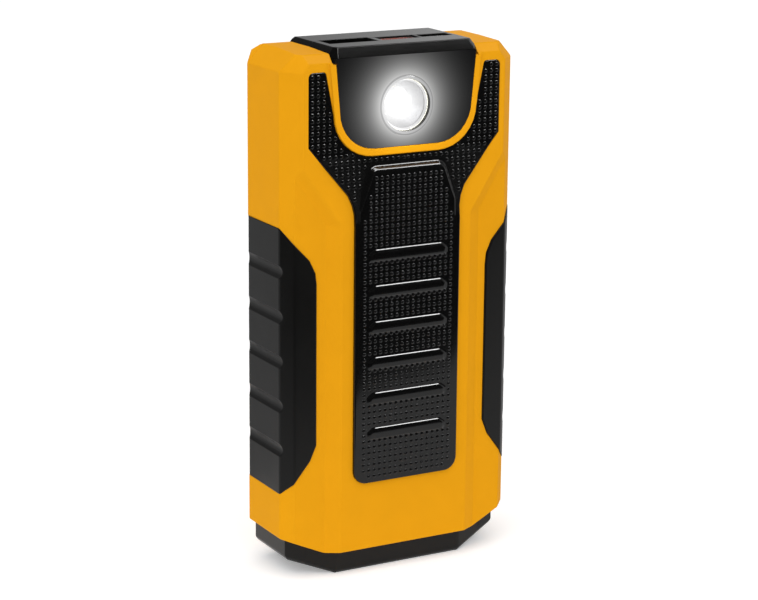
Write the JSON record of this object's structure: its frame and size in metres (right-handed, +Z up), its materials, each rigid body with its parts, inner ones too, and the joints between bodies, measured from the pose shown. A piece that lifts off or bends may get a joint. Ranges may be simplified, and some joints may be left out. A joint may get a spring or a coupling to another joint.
{
  "type": "jump starter pack",
  "caption": "Car jump starter pack with a work lamp in the front, a socket row on top, side rubber grips and a textured front pad.",
  "frame": {"origin": "centre of the flat the pack stands on", "axes": "+Z up along the height, +X across the width, -Y out of the lamp side, +Y out of the rear cover"},
  "size_m": [0.082, 0.0364, 0.1684],
  "materials": {
    "yellow_abs": "satin moulded",
    "insert_black": "satin, dotted",
    "grip_rubber": "matt",
    "base_black": "satin",
    "cover_black": "satin",
    "panel_gloss": "polished",
    "ring_black": "satin",
    "lens_clear": "clear",
    "reflector_chrome": "mirror",
    "lamp_board_white": "matt",
    "led_phosphor": "matt",
    "lead_copper": "bare",
    "cell_pouch": "satin film",
    "pad_foam": "matt foam",
    "board_green": "solder mask",
    "socket_steel": "plated",
    "tongue_red": "satin",
    "inlet_black": "satin",
    "socket_black": "satin",
    "contact_brass": "gold plated",
    "button_rubber": "matt",
    "pipe_clear": "clear",
    "screw_steel": "zinc plated",
    "capacitor_blue": "satin sleeve",
    "inductor_grey": "matt ferrite"
  },
  "bodies": {
    "housing": {"front_shell": "yellow_abs", "rear_cover": "yellow_abs", "front_insert": "insert_black", "grip_left": "grip_rubber", "grip_right": "grip_rubber", "base_cap": "base_black", "top_cover": "cover_black", "lamp_panel": "panel_gloss", "lens_ring": "ring_black", "lamp_lens": "lens_clear", "reflector": "reflector_chrome", "led_board": "lamp_board_white", "led_emitter": "led_phosphor", "lamp_leads": "lead_copper", "cells": "cell_pouch", "cell_pads": "pad_foam", "busbars": "lead_copper", "main_board": "board_green", "port_board": "board_green", "usb_shell": "socket_steel", "usb_tongue": "tongue_red", "inlet_shell": "socket_steel", "inlet_tongue": "inlet_black", "jump_housing": "socket_black", "jump_contacts": "contact_brass", "jump_leads": "lead_copper", "tact_switch": "socket_black", "status_leds": "lamp_board_white", "light_pipes": "pipe_clear", "cover_screws": "screw_steel", "board_screws": "screw_steel", "capacitors": "capacitor_blue", "inductor": "inductor_grey"},
    "button": {"power_button": "button_rubber"}
  },
  "joints": [
    {"name": "power_press", "type": "slide", "parent": "housing", "child": "button", "axis": [0, -1, 0], "range_m": [0, 0.0007], "stiffness_N_per_m": 1500}
  ]
}
